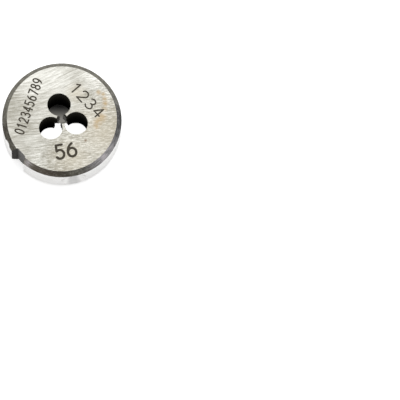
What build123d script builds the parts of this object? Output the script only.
"""A small solid round threading die, in one piece of tool steel.

Frame: millimetres, +Z along the thread, z = 0 on the back face and the marked lead-in face on top.
The V-groove in the rim faces -Y, and one of the three chip holes lies in line with it.
The thread passage is cut to the thread's root diameter, so the crests of the fine thread
stand inward from its wall on the three lands between the chip holes.
"""

import math
import os

from build123d import *

# --- Body ---------------------------------------------------------------------------------
die_diameter = 16.0
die_thickness = 5.0
rim_chamfer_width = 0.65  # measured across each face
rim_chamfer_height = 0.64  # measured down the rim

# --- Thread passage -----------------------------------------------------------------------
thread_diameter = 1.2  # at the thread's roots
thread_land_length = 2.0  # from the front face to where the relief cone starts
lead_in_diameter = 1.4
lead_in_angle = 60.0  # whole angle of the lead-in cone
relief_diameter = 2.1  # the plain counterbore behind the thread
relief_cone_angle = 60.0  # whole angle of the cone that joins it to the thread

# --- Chip holes ---------------------------------------------------------------------------
chip_hole_count = 3
chip_hole_diameter = 3.15
chip_hole_circle = 4.0  # diameter of the circle that the hole centres lie on

# --- Rim: V-groove, screw dimples and a small nick ----------------------------------------
groove_direction = -90.0  # all directions are degrees from +X about +Z
groove_depth = 0.85
groove_floor_width = 1.5
groove_angle = 60.0  # whole angle between its walls
dimple_count = 3
dimple_diameter = 3.8
dimple_angle = 90.0
first_dimple_from_groove = 60.0
nick_from_groove = -17.0
nick_ball_diameter = 2.6
nick_depth = 0.16

# --- Worked out from the sizes above ------------------------------------------------------
overrun = 1.0  # how far each cutter runs on past the surface that it cuts
die_radius = die_diameter / 2
thread_radius = thread_diameter / 2
lead_in_radius = lead_in_diameter / 2
relief_radius = relief_diameter / 2
chip_hole_radius = chip_hole_diameter / 2
dimple_radius = dimple_diameter / 2
nick_ball_radius = nick_ball_diameter / 2


def half_slope(whole_angle):
    """How far a cone or groove wall moves out for each millimetre along its axis."""
    return math.tan(math.radians(whole_angle / 2))


def blank():
    """The turned disc: a half section with both rim chamfers, turned about Z."""
    face_radius = die_radius - rim_chamfer_width
    section = Polyline(
        (0, 0),
        (face_radius, 0),
        (die_radius, rim_chamfer_height),
        (die_radius, die_thickness - rim_chamfer_height),
        (face_radius, die_thickness),
        (0, die_thickness),
        close=True,
    )
    return revolve(Plane.XZ * make_face(section), Axis.Z)


def thread_passage():
    """The hole that the rod goes through: lead-in cone, thread wall, relief cone and counterbore."""
    lead_in_slope = half_slope(lead_in_angle)
    lead_in_height = (lead_in_radius - thread_radius) / lead_in_slope
    relief_cone_height = (relief_radius - thread_radius) / half_slope(relief_cone_angle)
    land_end = die_thickness - thread_land_length
    section = Polyline(
        (0, die_thickness + overrun),
        (lead_in_radius + overrun * lead_in_slope, die_thickness + overrun),
        (thread_radius, die_thickness - lead_in_height),
        (thread_radius, land_end),
        (relief_radius, land_end - relief_cone_height),
        (relief_radius, -overrun),
        (0, -overrun),
        close=True,
    )
    return revolve(Plane.XZ * make_face(section), Axis.Z)


def chip_hole():
    """One straight hole through the die, ground off sharp at both faces."""
    return Cylinder(
        chip_hole_radius,
        die_thickness + 2 * overrun,
        align=(Align.CENTER, Align.CENTER, Align.MIN),
    )


def rim_groove():
    """The flat-floored V-groove along the whole rim, drawn facing +X."""
    wall_slope = half_slope(groove_angle)
    floor = die_radius - groove_depth
    mouth = die_radius + overrun
    floor_half = groove_floor_width / 2
    mouth_half = floor_half + (mouth - floor) * wall_slope
    section = Polyline(
        (floor, -floor_half),
        (mouth, -mouth_half),
        (mouth, mouth_half),
        (floor, floor_half),
        close=True,
    )
    return Pos(0, 0, -overrun) * extrude(make_face(section), die_thickness + 2 * overrun, dir=(0, 0, 1))


def rim_dimple():
    """One conical seat for a holding screw, at half thickness, drawn facing +X."""
    slope = half_slope(dimple_angle)
    depth = dimple_radius / slope
    cone = Cone(
        0,
        dimple_radius + overrun * slope,
        depth + overrun,
        align=(Align.CENTER, Align.CENTER, Align.MIN),
    )
    return Pos(die_radius - depth, 0, die_thickness / 2) * Rot(0, 90, 0) * cone


def rim_nick():
    """A shallow round nick in the front corner of the rim, drawn facing +X."""
    corner_height = die_thickness - rim_chamfer_height
    centre = die_radius - nick_depth + nick_ball_radius
    return Pos(centre, 0, corner_height) * Sphere(nick_ball_radius)


def around(tool, first_direction, count=1):
    """Copies of a tool, evenly turned about Z from the first direction."""
    return [Rot(0, 0, first_direction + 360 * turn / count) * tool for turn in range(count)]


def round_die():
    """The blank with everything that is bored, drilled, ground or knocked out of it."""
    cutters = [thread_passage()]
    cutters += around(Pos(chip_hole_circle / 2, 0, -overrun) * chip_hole(), groove_direction, chip_hole_count)
    cutters += around(rim_groove(), groove_direction)
    cutters += around(rim_dimple(), groove_direction + first_dimple_from_groove, dimple_count)
    cutters += around(rim_nick(), groove_direction + nick_from_groove)
    body = blank()
    for cutter in cutters:
        body -= cutter
    return body


die = round_die()
os.makedirs("parts", exist_ok=True)
export_step(die, "parts/round_die.step")

land_width = chip_hole_circle * math.sin(math.pi / chip_hole_count) - chip_hole_diameter
print(f"solids {len(die.solids())}, volume {die.volume:.2f} mm3, box {die.bounding_box().size}")
print(f"narrowest land between chip holes {land_width:.3f} mm")
